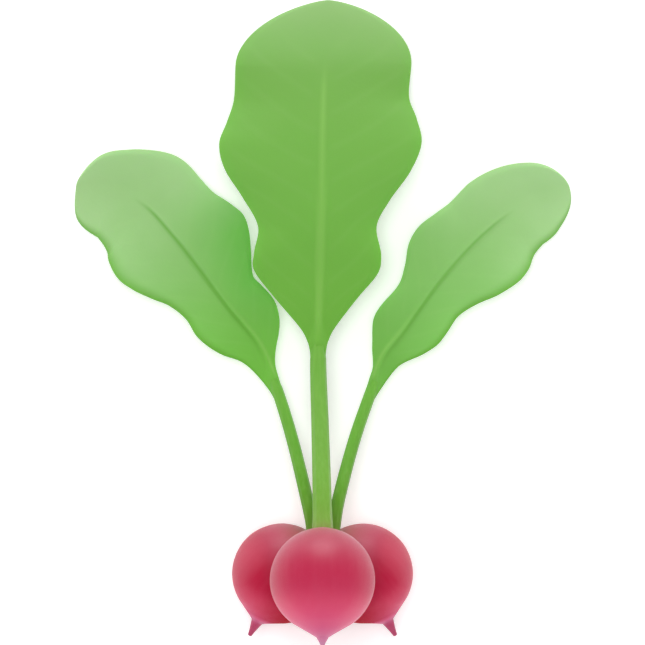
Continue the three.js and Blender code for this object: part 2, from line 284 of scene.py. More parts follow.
def rootPiece(name, root, material):
    s = rootShape
    radius = root["radius"]
    profile = rootProfile(radius, root["tailLength"], root["neckRadius"])
    up = Vector((0, 0, 1))
    crownTurn = up.rotation_difference(root["crown"])
    tailTurn = up.rotation_difference(-root["tail"])
    reach = radius * s["bendShare"]
    points, places = [], []

    def add(r, h, turn):
        place = Vector((r * math.cos(turn), r * math.sin(turn), h))
        out = place.normalized()
        bump = noise.fractal(place * s["unevenScale"] + root["seed"], 0.8, 2, 2)
        place += out * s["unevenness"] * bump * smooth(r, *s["unevenFade"])
        onTail = 1 - smooth(h + radius, *s["tailRingEnd"])
        wander = s["tailRingWander"]
        spot = Vector((wander * math.cos(turn), wander * math.sin(turn), h * s["tailRingPitch"]))
        ringNoise = noise.noise(spot + root["seed"])
        place += out * s["tailRings"] * ringNoise * onTail * smooth(r, *s["tailRingFade"])
        places.append(place / radius)
        bend = tailTurn.slerp(crownTurn, smooth(place.z, -reach, reach))
        point = bend @ place
        if root["cheek"]:
            room = root["cheekLimit"] - s["cheekStart"]
            past = point.dot(root["cheek"]) - s["cheekStart"]
            if past > 0:
                point += root["cheek"] * (room * math.tanh(past / room) - past)
        point += root["centre"]
        point.z = max(point.z, 0)
        points.append(point * mm)

    add(*profile[0], 0)
    for r, h in profile[1:-1]:
        for k in range(s["sides"]):
            add(r, h, 2 * math.pi * k / s["sides"])
    add(*profile[-1], 0)

    sides, rings = s["sides"], len(profile) - 2
    faces = []
    for k in range(sides):
        n = (k + 1) % sides
        faces.append((0, 1 + n, 1 + k))
        for i in range(rings - 1):
            a, b = 1 + i * sides, 1 + (i + 1) * sides
            faces.append((a + k, a + n, b + n, b + k))
        top = 1 + (rings - 1) * sides
        faces.append((top + k, top + n, len(points) - 1))
    piece = meshPiece(name, points, faces, material)
    paint(piece, "skinPlace", places)
    return piece


# Radii and centres are read off the frame's own roots: the crown side of each is round on its far side,
# its outer side and its top.
def readRoot(side):
    low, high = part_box({0: "top_radish", -1: "left_radish", 1: "right_radish"}[side])
    low, high = low / mm, high / mm
    if side == 0:
        radius = (high.x - low.x) / 2
        centre = Vector(((high.x + low.x) / 2, high.y - radius, high.z - radius))
        return {
            "radius": radius,
            "centre": centre,
            "tailLength": rootShape["topTailLength"],
            "crown": heading(*rootShape["topCrown"]),
            "tail": heading(*rootShape["topTail"]),
        }
    crownTurn, crownRise = rootShape["lowerCrown"]
    tailTurn, tailRise = rootShape["lowerTail"]
    radius = (high.z + rootShape["restFlat"]) / 2
    outer = high.x if side > 0 else low.x
    centre = Vector((outer - side * radius, high.y - radius, high.z - radius))
    return {
        "radius": radius,
        "centre": centre,
        "tailLength": rootShape["lowerTailLength"],
        "crown": heading(crownTurn * side, crownRise),
        "tail": heading(180 + tailTurn * side, tailRise),
    }


roots = {"top": readRoot(0), "left": readRoot(-1), "right": readRoot(1)}
halfSpacing = (roots["right"]["centre"].x - roots["left"]["centre"].x) / 2
for number, (name, root) in enumerate(roots.items()):
    side = {"top": 0, "left": -1, "right": 1}[name]
    root["side"] = side
    root["seed"] = Vector((number * 7.3, 2.1, 4.4))
    root["cheek"] = Vector((-side, 0, 0)) if side else None
    root["cheekLimit"] = halfSpacing - rootGap / 2

rootLook = {
    "bodySpan": (-1.4, 1.03),  # heights in radii at which bodyStops begin and end
    "bodyStops": [  # place along the root, from the tail's tip up to the collar; paler towards the crown, partly the skin's own tone and partly a painted highlight
        (0.0, rgb(203, 150, 180)),
        (0.08, rgb(203, 142, 173)),
        (0.17, rgb(213, 60, 118)),
        (0.26, rgb(220, 76, 116)),
        (0.36, rgb(214, 69, 104)),
        (0.46, rgb(190, 38, 77)),
        (0.58, rgb(182, 28, 68)),
        (0.72, rgb(178, 58, 84)),
        (0.86, rgb(181, 80, 103)),
        (0.98, rgb(172, 88, 96)),
        (1.0, rgb(146, 124, 70)),
    ],
    "paintedShadeColour": rgb(165, 2, 26),  # painted shade, where the root lies against its neighbour
    "shadedFrom": -0.55,  # how far towards the neighbour, in radii
    "shadedTo": 0.25,
    "lowerTailColour": rgb(174, 52, 90),
    "lowerTailAmount": 0.85,
    "waistDepth": 0.35,  # how far the middle of a lower root takes the painted shade colour
    "flankSheenColour": rgb(208, 96, 116),  # painted sheen: the paler outer flank of a lower root
    "flankSheenAmount": 0.4,
    "streakColour": rgb(214, 104, 128),
    "streakAmount": 0.05,
    "streakRange": (0.35, 0.7),  # of the noise, from where a streak shows to where it is full
    "speckColour": rgb(222, 140, 164),
    "speckAmount": 0.1,
    "speckRange": (0.66, 0.74),
    # heights in radii, from where each tone starts to where it is full
    "lowDown": (0.3, -0.6),
    "clearOfTail": (-1.02, -0.9),
    "waistFromTail": (-1.0, -0.7),
    "waistFromCrown": (0.8, 0.3),
    "onTail": (-0.98, -1.16),
    "specksDown": (0.35, -0.7),
    "onFlank": (0.84, 1.0),  # how far outwards, in radii
    "streakScale": (9, 9, 1.1),
    "speckScale": (8, 8, 96),
    "grainScale": 38,
    "grainRange": (0.3, 0.7),
    "grainRelief": 0.35,
    "streakRelief": 3.0,
    "bump": 0.05,
    "bumpDepth": 0.0004,
    "roughness": (0.38, 0.52),  # between the grain's hollows and its tops
    "shadedDulling": 0.45,
    "dullFully": 0.7,  # how shaded the skin is where it is as dull as it gets
}


def rootMaterial(name, side):
    look = rootLook
    material, tree, shader = newMaterial(
        name + "RootSkin",
        0.44,
        Sheen_Weight=0.04 if side else 0.15,
        Sheen_Roughness=0.3,
        Sheen_Tint=(1.0, 0.8, 0.84, 1),
        Subsurface_Weight=0.1,
        Subsurface_Radius=(1.0, 0.2, 0.25),
        Subsurface_Scale=0.0015,
        Specular_IOR_Level=0.2 if side else 0.5,
    )
    place = node(tree, "ShaderNodeAttribute", attribute_name="skinPlace").outputs["Vector"]
    parts = node(tree, "ShaderNodeSeparateXYZ", {0: place}).outputs
    height = parts["Z"]
    base = ramp(tree, mapRange(tree, height, *look["bodySpan"]), look["bodyStops"])

    if side:  # painted shade: the lower roots are darker crimson low down on the side that faces the other one
        outwards = times(tree, parts["X"], side)
        inwards = times(tree, parts["X"], -side)
        inwards = mapRange(tree, inwards, look["shadedFrom"], look["shadedTo"])
        lowDown = mapRange(tree, height, *look["lowDown"])
        notTail = mapRange(tree, height, *look["clearOfTail"])
        shaded = times(tree, times(tree, inwards, lowDown), notTail)
        base = blendColour(tree, shaded, base, look["paintedShadeColour"])
        # painted shade over the middle of each lower root
        waist = mapRange(tree, height, *look["waistFromTail"])
        waist = times(tree, waist, mapRange(tree, height, *look["waistFromCrown"]))
        waist = times(tree, waist, look["waistDepth"])
        base = blendColour(tree, waist, base, look["paintedShadeColour"])
        # painted sheen on the outer flank
        flank = mapRange(tree, outwards, *look["onFlank"], 0, look["flankSheenAmount"])
        base = blendColour(tree, flank, base, look["flankSheenColour"])
        onTail = mapRange(tree, height, *look["onTail"], 0, look["lowerTailAmount"])
        base = blendColour(tree, onTail, base, look["lowerTailColour"])

    streaks = noiseOver(tree, stretched(tree, place, look["streakScale"]), 1.0, 5)
    streaks = mapRange(tree, streaks, *look["streakRange"], 0, look["streakAmount"])
    base = blendColour(tree, streaks, base, look["streakColour"])

    specks = noiseOver(tree, stretched(tree, place, look["speckScale"]), 1.0, 3)
    specks = mapRange(tree, specks, *look["speckRange"], 0, look["speckAmount"])
    specks = times(tree, specks, mapRange(tree, height, *look["specksDown"]))
    base = blendColour(tree, specks, base, look["speckColour"])
    tree.links.new(base, shader.inputs["Base Color"])

    grain = noiseOver(tree, place, look["grainScale"], 4)
    relief = plus(
        tree, times(tree, grain, look["grainRelief"]), times(tree, streaks, look["streakRelief"])
    )
    given = {"Height": relief, "Strength": look["bump"], "Distance": look["bumpDepth"]}
    bump = node(tree, "ShaderNodeBump", given)
    tree.links.new(bump.outputs[0], shader.inputs["Normal"])
    roughness = mapRange(tree, grain, *look["grainRange"], *look["roughness"])
    if side:  # and duller there
        dulling = mapRange(tree, shaded, 0, look["dullFully"], 0, look["shadedDulling"])
        roughness = plus(tree, roughness, dulling)
    tree.links.new(roughness, shader.inputs["Roughness"])
    return material


# the three plants: route of stem and leaf in shares of their lengths, heights in millimetres;
# each edge row is a percent of the leaf's length, the reach there as a percent of its half width,
# and how far the rim is lifted in tenths of a millimetre

stemShape = {
    "top": {"foot": 2.9, "blade": 2.4},
    "side": {"foot": 2.0, "blade": 1.75},
    "sides": 44,
    "flutes": 9,
    "fluteDepth": 0.035,
    "buried": 0.6,  # how far the foot reaches into the collar
    "runOut": 0.16,  # share of the leaf in which the stem sinks into the midrib
    "endShare": 0.2,  # share of its radius left there
    "endHaste": 0.8,  # less makes it thin sooner
    "footSwell": 0.06,  # how much thicker the stem is at its foot, and over what length
    "footSwellLength": 3,
    "steps": 150,
}

plants = {
    "top": {
        "stem": {
            "length": 51.1,
            "radius": stemShape["top"],
            "route": [(-0.004, 0.2), (-0.015, 0.6), (-0.0264, 1)],
            "heights": [(0.2, 30.5), (0.5, 22.5), (0.8, 16.5), (1, 14.5)],
        },
        "leaf": {
            "length": 108.3,
            "halfWidth": 31,
            "camber": -2.5,
            "route": [(0.006, 0.277), (0.01, 0.443), (0.015, 0.72), (0.022, 0.86), (0.029, 1)],
            "heights": [(0.2, 15.2), (0.42, 17.5), (0.6, 16), (0.8, 9.5), (0.92, 3.6), (1, 0.3)],
            "left": {
                "fullness": 0.72,
                "taper": 0,
                "edge": [
                    (-4, 6, 0), (0, 7.4, 0), (2, 8, 0), (4.5, 10.3, 0), (8, 17, 0), (17, 45, 4), (24, 64, 10),
                    (29, 64, 8), (36, 61, -6), (44, 76.5, -4), (52, 94.5, 10), (59, 100, 14), (65, 93, 2),
                    (71, 87, -8), (80, 87, 4),
                ],
            },
            "right": {
                "fullness": 0.6,
                "taper": 0,
                "edge": [
                    (-4, 6, 0), (0, 7.4, 0), (2, 7.8, 0), (4.5, 9.6, 0), (8, 15, 0), (17, 37.5, 4),
                    (24, 56.5, 10), (29, 59, 8), (37, 54, -6), (44, 66, -4), (52, 85.5, 10), (60, 96, 14),
                    (67, 91, 2), (73, 83.5, -10), (83, 84, 4),
                ],
            },
        },
    },
    "left": {
        "litSide": -1,  # the side of its midrib, +1 for the leaf's left, that faces the far light
        "stem": {
            "length": 45,
            "radius": stemShape["side"],
            "route": [(0, 0.054), (-0.04, 0.24), (-0.14, 0.64), (-0.243, 0.97)],
            "heights": [(0.25, 17.5), (0.6, 11), (1, 7)],
        },
        "leaf": {
            "length": 91,
            "halfWidth": 20.8,
            "camber": 3,
            "route": [
                (-0.058, 0.143), (-0.159, 0.269), (-0.26, 0.4), (-0.34, 0.501), (-0.436, 0.604),
                (-0.546, 0.66), (-0.668, 0.673),
            ],
            "heights": [(0.15, 6.6), (0.35, 7.2), (0.6, 5.2), (0.85, 1.4), (1, 0.3)],
            "left": {
                "fullness": 0.26,
                "taper": 0,
                "edge": [
                    (-7, 5, 0), (-4, 7.6, 0), (0, 10.8, 0), (6, 20, 0), (12, 31.5, 0), (20.5, 51.5, 4),
                    (30, 62, 8), (37, 59.5, -4), (44, 67, -4), (50, 82, 4), (55, 93, 10),
                    (62, 100.5, 10), (68, 97, 0), (76, 88, -6), (88, 73, 0),
                ],
            },
            "right": {
                "fullness": 0.5,
                "taper": 2.45,  # how fast the edge draws in past its last row
                "edge": [
                    (-6, 5, 0), (-2, 7.8, 0), (3, 8.2, 0), (8, 10.5, 0), (12.5, 21, 2), (18.5, 46, 6),
                    (23.5, 57, 8), (30.5, 57.5, 0), (35, 56.5, -6), (42, 76, -2), (48, 92.5, 8),
                    (53, 99, 10), (57, 95.5, 6), (63.5, 86.5, -4), (69, 84.5, -6), (76, 86, -4),
                    (83, 71.8, 0), (90, 54.6, 0),
                ],
            },
        },
    },
    "right": {
        "litSide": 1,
        "stem": {
            "length": 45,
            "radius": stemShape["side"],
            "route": [(0.008, 0.054), (0.042, 0.24), (0.15, 0.636), (0.264, 0.962)],
            "heights": [(0.25, 17.5), (0.6, 11), (1, 7)],
        },
        "leaf": {
            "length": 88.8,
            "halfWidth": 17.9,
            "camber": 3,
            "route": [
                (0.041, 0.112), (0.104, 0.194), (0.2135, 0.3457), (0.307, 0.455), (0.3856, 0.5334),
                (0.47, 0.5995), (0.572, 0.657), (0.674, 0.695),
            ],
            "heights": [(0.15, 6.6), (0.35, 7.2), (0.6, 5.2), (0.85, 1.4), (1, 0.3)],
            "left": {
                "fullness": 0.55,
                "taper": 0,
                "edge": [
                    (-6, 6, 0), (-2, 9.2, 0), (3, 9.6, 0), (8, 11, 0), (13, 26, 2), (19, 51, 6), (25, 56, 8),
                    (35, 52, -6), (41, 63, -4), (47, 81, 6), (53, 87, 10), (60, 81, 2),
                    (65, 77.5, -6), (72, 81.5, 0),
                ],
            },
            "right": {
                "fullness": 0.5,
                "taper": 0,
                "edge": [
                    (-7, 6, 0), (-4, 9, 0), (0, 13, 0), (8, 25, 0), (16, 38, 4), (25, 59, 8), (31, 61.5, 4),
                    (38, 61, -4), (46, 73, -2), (54, 90, 8), (63, 99, 10), (70, 95, 2), (76, 82, -6),
                    (82, 74, -2),
                ],
            },
        },
    },
}


spineSteps = 900
headingSpan = 6  # how many samples each side a heading is taken over


class Spine:  # the line from a root's crown to its leaf's tip
    def __init__(self, root, plant):
        stem, leaf = plant["stem"], plant["leaf"]
        foot = root["centre"] + root["crown"] * (root["radius"] + rootShape["neckHeight"] + rootGap)
        points = [(foot.x, foot.y)]
        points += [(foot.x + x * stem["length"], foot.y + y * stem["length"]) for x, y in stem["route"]]
        base = points[-1]
        points += [(base[0] + x * leaf["length"], base[1] + y * leaf["length"]) for x, y in leaf["route"]]
        chord = [0]
        for a, b in zip(points, points[1:]):
            chord.append(chord[-1] + math.dist(a, b))
        across = curveThrough([(c, p[0]) for c, p in zip(chord, points)])
        ahead = curveThrough([(c, p[1]) for c, p in zip(chord, points)])
        count = spineSteps
        marks = [chord[-1] * i / count for i in range(count + 1)]
        self.samples = [Vector((across(c), ahead(c), 0)) for c in marks]
        self.lengths = [0]
        for a, b in zip(self.samples, self.samples[1:]):
            self.lengths.append(self.lengths[-1] + (b - a).length)
        self.total = self.lengths[-1]
        self.bladeStart = self.lengths[round(count * chord[len(stem["route"])] / chord[-1])]
        self.bladeLength = self.total - self.bladeStart
        rows = [(0, foot.z)] + [(share * self.bladeStart, z) for share, z in stem["heights"]]
        rows += [(self.bladeStart + share * self.bladeLength, z) for share, z in leaf["heights"]]
        self.height = curveThrough(rows)
        self.crown = root["crown"]

    def at(self, along):  # the point, and the level heading to the leaf's left
        along = min(max(along, 0), self.total)
        low, high = 0, len(self.lengths) - 1
        while high - low > 1:
            middle = (low + high) // 2
            low, high = (middle, high) if self.lengths[middle] <= along else (low, middle)
        t = (along - self.lengths[low]) / (self.lengths[high] - self.lengths[low])
        point = self.samples[low].lerp(self.samples[high], t)
        point.z = self.height(along)
        back = self.samples[max(low - headingSpan, 0)]
        on = self.samples[min(high + headingSpan, len(self.samples) - 1)]
        ahead = (on - back).normalized()
        return point, Vector((-ahead.y, ahead.x, 0))


# stems: a fluted tube grown along its own line by geometry nodes

def stemTree():
    tree = bpy.data.node_groups.new("stemTube", "GeometryNodeTree")
    face = tree.interface
    face.new_socket("Geometry", in_out="INPUT", socket_type="NodeSocketGeometry")
    face.new_socket("Sides", in_out="INPUT", socket_type="NodeSocketInt")
    face.new_socket("Flutes", in_out="INPUT", socket_type="NodeSocketFloat")
    face.new_socket("Flute Depth", in_out="INPUT", socket_type="NodeSocketFloat")
    face.new_socket("Skin", in_out="INPUT", socket_type="NodeSocketMaterial")
    face.new_socket("Geometry", in_out="OUTPUT", socket_type="NodeSocketGeometry")
    given = node(tree, "NodeGroupInput").outputs
    along = node(tree, "GeometryNodeSplineParameter").outputs["Factor"]
    line = node(
        tree,
        "GeometryNodeStoreNamedAttribute",
        {"Geometry": given["Geometry"], "Name": "stemAlong", "Value": along},
        data_type="FLOAT",
        domain="POINT",
    )
    ring = node(tree, "GeometryNodeCurvePrimitiveCircle", {"Resolution": given["Sides"], "Radius": 1.0})
    around = node(tree, "GeometryNodeSplineParameter").outputs["Factor"]
    angle = node(tree, "ShaderNodeMath", {0: around, 1: 2 * math.pi}, operation="MULTIPLY").outputs[0]
    wave = node(tree, "ShaderNodeMath", {0: angle, 1: given["Flutes"]}, operation="MULTIPLY").outputs[0]
    wave = node(tree, "ShaderNodeMath", {0: wave}, operation="COSINE").outputs[0]
    swell = node(
        tree, "ShaderNodeMath", {0: wave, 1: given["Flute Depth"], 2: 1.0}, operation="MULTIPLY_ADD"
    ).outputs[0]
    here = node(tree, "GeometryNodeInputPosition").outputs[0]
    fluted = node(tree, "ShaderNodeVectorMath", {0: here, "Scale": swell}, operation="SCALE").outputs[0]
    ring = node(tree, "GeometryNodeSetPosition", {"Geometry": ring.outputs["Curve"], "Position": fluted})
    thickness = node(tree, "GeometryNodeInputRadius").outputs[0]
    tube = node(
        tree,
        "GeometryNodeCurveToMesh",
        {
            "Curve": line.outputs["Geometry"],
            "Profile Curve": ring.outputs["Geometry"],
            "Scale": thickness,
            "Fill Caps": True,
        },
    )
    soft = node(tree, "GeometryNodeSetShadeSmooth", {"Geometry": tube.outputs["Mesh"]})
    real = node(tree, "GeometryNodeRealizeInstances", {"Geometry": soft.outputs["Geometry"]})
    skinned = node(
        tree, "GeometryNodeSetMaterial", {"Geometry": real.outputs["Geometry"], "Material": given["Skin"]}
    )
    node(tree, "NodeGroupOutput", {0: skinned.outputs["Geometry"]})
    return tree


def stemRadiusAt(spine, plant, along):
    s = stemShape
    foot, blade = plant["stem"]["radius"]["foot"], plant["stem"]["radius"]["blade"]
    radius = mix(foot, blade, min(max(along / spine.bladeStart, 0), 1))
    radius *= 1 + s["footSwell"] * hill(along, s["footSwellLength"])
    past = max(0, (along - spine.bladeStart) / (s["runOut"] * spine.bladeLength))
    return radius * mix(1, s["endShare"], min(past, 1) ** s["endHaste"])


def stemPiece(name, spine, plant, tree, material):
    s = stemShape
    start, end = -s["buried"], spine.bladeStart + s["runOut"] * spine.bladeLength
    count = s["steps"]
    rows = []
    for i in range(count + 1):
        along = mix(start, end, i / count)
        point, _ = spine.at(along)
        if along < 0:
            point += spine.crown * along
        rows.append((point * mm, stemRadiusAt(spine, plant, along) * mm))
    line = bpy.data.curves.new(name + "Line", "CURVE")
    line.dimensions = "3D"
    spline = line.splines.new("POLY")
    spline.points.add(count)
    for knot, (point, radius) in zip(spline.points, rows):
        knot.co = (*point, 1)
        knot.radius = radius
    grown = bpy.data.objects.new(name + "Line", line)
    bpy.context.scene.collection.objects.link(grown)
    maker = grown.modifiers.new("stemTube", "NODES")
    maker.node_group = tree
    given = {
        "Sides": s["sides"],
        "Flutes": float(s["flutes"]),
        "Flute Depth": s["fluteDepth"],
        "Skin": material,
    }
    for item in tree.interface.items_tree:
        if item.item_type == "SOCKET" and item.in_out == "INPUT" and item.name in given:
            maker[item.identifier] = given[item.name]
    depsgraph = bpy.context.evaluated_depsgraph_get()
    mesh = bpy.data.meshes.new_from_object(grown.evaluated_get(depsgraph))
    grown.modifiers.remove(maker)
    bpy.data.objects.remove(grown)
    mesh.name = name
    piece = bpy.data.objects.new(name, mesh)
    bpy.context.scene.collection.objects.link(piece)
    return piece


fibres = {
    "colour": rgb(150, 198, 100),
    "amount": 0.14,
    "range": (0.4, 0.7),
    "scale": (900, 60, 900),
    "bump": 0.12,
    "bumpDepth": 0.0003,
}
stemStops = {  # along the stem, from the crown up into the leaf
    "top": [
        (0.0, rgb(132, 142, 72)),
        (0.05, rgb(112, 160, 54)),
        (0.2, rgb(111, 165, 56)),
        (0.42, rgb(113, 168, 66)),
        (0.62, rgb(113, 171, 68)),
        (0.8, rgb(111, 173, 66)),
        (1.0, rgb(111, 175, 66)),
    ],
    # the side stems' deeper green near the crown, against the top stem's, is painted shade
    "side": [
        (0.0, rgb(124, 136, 62)),
        (0.05, rgb(94, 148, 40)),
        (0.22, rgb(96, 154, 42)),
        (0.42, rgb(101, 163, 54)),
        (0.62, rgb(108, 171, 62)),
        (0.8, rgb(112, 179, 66)),
        (1.0, rgb(114, 184, 70)),
    ],
}


def stemMaterial(kind):
    material, tree, shader = newMaterial(
        kind + "StemSkin",
        0.45,
        Sheen_Weight=0.05,
        Subsurface_Weight=0.15,
        Subsurface_Radius=(0.4, 1.0, 0.2),
        Subsurface_Scale=0.001,
        Specular_IOR_Level=0.25,
    )
    along = node(tree, "ShaderNodeAttribute", attribute_name="stemAlong").outputs["Fac"]
    base = ramp(tree, along, stemStops[kind])
    place = node(tree, "ShaderNodeTexCoord").outputs["Object"]
    grain = noiseOver(tree, stretched(tree, place, fibres["scale"]), 1.0, 3)
    lighter = mapRange(tree, grain, *fibres["range"], 0, fibres["amount"])
    base = blendColour(tree, lighter, base, fibres["colour"])
    tree.links.new(base, shader.inputs["Base Color"])
    given = {"Height": grain, "Strength": fibres["bump"], "Distance": fibres["bumpDepth"]}
    bump = node(tree, "ShaderNodeBump", given)
    tree.links.new(bump.outputs[0], shader.inputs["Normal"])
    return material


# leaves

leafShape = {
    "rows": 240,
    "footShare": -0.06,  # the blade's foot runs a little way down inside the stem
    "columns": 64,
    "middleThickness": 0.7,
    "rimThickness": 0.3,
    "ribHeight": {"top": 0.5, "side": 0.8},
    "ribHalfWidth": {"top": 1.5, "side": 1.05},
    "ribEndWidth": {"top": 0.85, "side": 0.4},  # share of that half-width left at the rib's end
    "ribEnd": {"top": 0.84, "side": 0.81},
    "veinPairs": 9,
    "veinHeight": 0.012,
    "quilt": 0.02,  # how far the skin swells between the veins
    "edgeCurl": 0.9,
    "tipFrom": 0.8,  # share of the length past which the rows close up
    "tipRows": 70,
    "tipAngle": 88.5,  # how far round the tip's quarter turn the last row lies
    "veinSpread": 0.86,  # share of the length that the side veins fill
    "veinLag": 0.16,  # how far a vein sweeps on towards the tip
    "veinWidth": 0.11,
    "coverMargin": 0.1,  # how far the blade's foot lies over the end of the stem
    "coverSpread": 1.1,
    # shares of the leaf's length from where each starts to where it is full
    "coverRise": (-0.01, 0.05),
    "coverFall": 0.06,  # past the end of the stem
    "ribFall": 0.12,  # before the rib's end
    "litRise": (0, 0.08),
    "litFall": (0.12, 0.5),
    "deepRise": (0.02, 0.3),
    "veinRise": (0.05, 0.2),
    "veinFall": (0.82, 0.96),
    "curlRise": (0.08, 0.3),
    "camberRise": (0, 0.25),
    "ribTipShare": 0.4,  # share of the rib's height left at its end
    "ribSharpness": 0.8,
    "ribUnderShare": 0.8,  # share of the rib's height that also stands out below
    "veinClear": (1.2, 4),  # how far from the midrib the veins start, in millimetres
    "veinRim": (0.8, 1),  # shares of the half width over which they end
    "curlReach": (0.86, 1.12),  # and over which the rim curls down
    "rimStart": 0.12,  # share of the thickness at the very rim, and how fast it grows inwards
    "rimGrowth": 1.6,
}


def edgeOf(side, halfWidth):
    reach = curveThrough([(a / 100, w / 100 * halfWidth) for a, w, _ in side["edge"]])
    lift = curveThrough([(a / 100, h / 10) for a, _, h in side["edge"]])
    roundFrom = side["edge"][-1][0] / 100

    def value(share):
        past = max(0, share - roundFrom)
        narrowing = max(0, 1 - (past / (1 - roundFrom)) ** 2) ** side["fullness"]
        return (reach(share) - side["taper"] * past * halfWidth) * narrowing, lift(share) * narrowing

    return value


def veinAt(share, t):  # 1 on a side vein, 0 between two; the veins sweep towards the tip as they go out
    s = leafShape
    lag = s["veinLag"] * abs(t) ** 1.2
    phase = (share - lag) * s["veinPairs"] / s["veinSpread"] + (0.5 if t > 0 else 0)
    near = abs(phase - round(phase))
    return hill(near, s["veinWidth"]), math.cos(2 * math.pi * phase)


def leafPiece(name, spine, plant, material):
    s = leafShape
    kind = "top" if plant is plants["top"] else "side"
    ribEnd, ribEndWidth = s["ribEnd"][kind], s["ribEndWidth"][kind]
    runOut = stemShape["runOut"]
    leaf = plant["leaf"]
    left, right = edgeOf(leaf["left"], leaf["halfWidth"]), edgeOf(leaf["right"], leaf["halfWidth"])
    columns = s["columns"]
    shares = []
    for i in range(s["rows"]):
        shares.append(mix(s["footShare"], s["tipFrom"], i / s["rows"]))
    for i in range(s["tipRows"] + 1):
        angle = math.radians(s["tipAngle"]) * i / s["tipRows"]
        shares.append(s["tipFrom"] + (1 - s["tipFrom"]) * math.sin(angle))
    acrossShares = [math.sin(math.radians(90) * (2 * k / columns - 1)) for k in range(columns + 1)]
    rings, alongs, acrosses, veins, ribs = [], [], [], [], []
    for share in shares:
        point, toLeft = spine.at(spine.bladeStart + share * spine.bladeLength)
        spread = smooth(share, *s["camberRise"])
        ribShare = min(max(share, 0) / ribEnd, 1)
        ribFade = 1 - smooth(share, ribEnd - s["ribFall"], ribEnd)
        litFade = smooth(share, *s["litRise"]) * (1 - smooth(share, *s["litFall"]))
        deepFade = smooth(share, *s["deepRise"])
        ribWidth = s["ribHalfWidth"][kind] * mix(1, ribEndWidth, ribShare)
        stemRadius = stemRadiusAt(spine, plant, spine.bladeStart + share * spine.bladeLength)
        cover = (stemRadius + s["coverMargin"]) * smooth(share, *s["coverRise"])
        cover *= 1 - smooth(share, runOut, runOut + s["coverFall"])
        veinShare = smooth(share, *s["veinRise"]) * (1 - smooth(share, *s["veinFall"]))
        above, below = [], []
        for t in acrossShares:
            reach, lift = (left if t > 0 else right)(share)
            out = abs(t) * reach
            middle = point + toLeft * (t * reach)
            bend = leaf["camber"] * spread * reach / leaf["halfWidth"] + lift
            middle.z += bend * t * t
            vein, swell = veinAt(share, t)
            veinFade = smooth(out, *s["veinClear"]) * (1 - smooth(abs(t), *s["veinRim"])) * veinShare
            across = math.copysign(out, t)
            ridge = s["ribHeight"][kind] * mix(1, s["ribTipShare"], ribShare) * ribFade
            ridge *= hill(out, ribWidth) ** s["ribSharpness"]
            ridge = max(ridge, cover * hill(out, s["coverSpread"] * stemRadius) - s["coverMargin"])
            middle.z += veinFade * (s["veinHeight"] * vein - s["quilt"] * 0.5 * swell)
            middle.z -= s["edgeCurl"] * smooth(abs(t), *s["curlReach"]) * smooth(share, *s["curlRise"])
            edge = max(0, 1 - t * t)
            thick = mix(s["rimThickness"], s["middleThickness"], edge)
            thick *= min(1, s["rimStart"] + s["rimGrowth"] * math.sqrt(edge))  # rounds the rim off
            middle.z = max(middle.z, thick / 2)
            above.append(middle + Vector((0, 0, thick / 2 + ridge)))
            depth = thick / 2 + ridge * s["ribUnderShare"]
            below.append(middle - Vector((0, 0, min(depth, middle.z))))
            alongs.append(share)
            acrosses.append(t)
            veins.append(vein * veinFade)
            if kind == "top":  # a broad pale band
                band = 1 - smooth(out, ribWidth * 0.4, ribWidth * 1.1)
                ribs.append(ribFade * smooth(share, 0, runOut) * band)
            else:  # pale on the side that faces the light, deep green on the other
                lit = across * plant["litSide"]
                pale = 1.5 * litFade * hill(lit - ribWidth * 0.8, ribWidth * 0.6)
                deep = deepFade * hill(lit + ribWidth * 0.3, ribWidth * 0.8)
                ribs.append(ribFade * (pale - deep))
        rings.append([p * mm for p in above] + [p * mm for p in reversed(below)])
    points, faces = closedSheet(rings)
    piece = meshPiece(name, points, [tuple(reversed(f)) for f in faces], material)
    ringCount = columns + 1

    def twice(values):  # once for the upper face of each ring and back again for the lower
        both = []
        for start in range(0, len(values), ringCount):
            upper = values[start:start + ringCount]
            both += upper + upper[::-1]
        return both

    paint(piece, "leafAlong", twice(alongs))
    paint(piece, "leafAcross", twice(acrosses))
    paint(piece, "leafVein", twice(veins))
    paint(piece, "leafRib", twice(ribs))
    return piece


leafLook = {
    "top": {
        "stops": [  # along the leaf, from its foot to its tip; paler towards the tip, partly the leaf's own tone and partly painted light where the tip turns to the far light
            (0.0, rgb(110, 174, 62)),
            (0.2, rgb(111, 176, 66)),
            (0.4, rgb(116, 179, 74)),
            (0.6, rgb(116, 174, 76)),
            (0.75, rgb(112, 167, 72)),
            (0.88, rgb(119, 170, 84)),
            (1.0, rgb(148, 188, 120)),
        ],
        "innerShadeAmount": 0,
        "lowerSide": 0,
        "ribShade": 0,
    },
    "left": {
        "stops": [
            (0.0, rgb(116, 190, 68)),
            (0.22, rgb(118, 188, 76)),
            (0.42, rgb(131, 190, 98)),
            (0.62, rgb(146, 192, 120)),
            (0.85, rgb(158, 200, 134)),
            (1.0, rgb(162, 201, 138)),
        ],
        "innerShadeAmount": 0.9,  # painted shade: how much deeper the green is on the half towards the middle of the bunch
        "lowerSide": 1,  # the side, +1 for the leaf's left, whose margin is painted deeper green as shade
        "ribShade": 0.78,  # how deep the green is along the far side of the midrib
    },
    "right": {
        "stops": [
            (0.0, rgb(114, 182, 72)),
            (0.2, rgb(124, 190, 88)),
            (0.4, rgb(134, 194, 102)),
            (0.6, rgb(140, 192, 112)),
            (0.8, rgb(157, 201, 132)),
            (1.0, rgb(168, 208, 146)),
        ],
        "innerShadeAmount": 0,
        "lowerSide": -1,
        "ribShade": 0.58,
    },
}

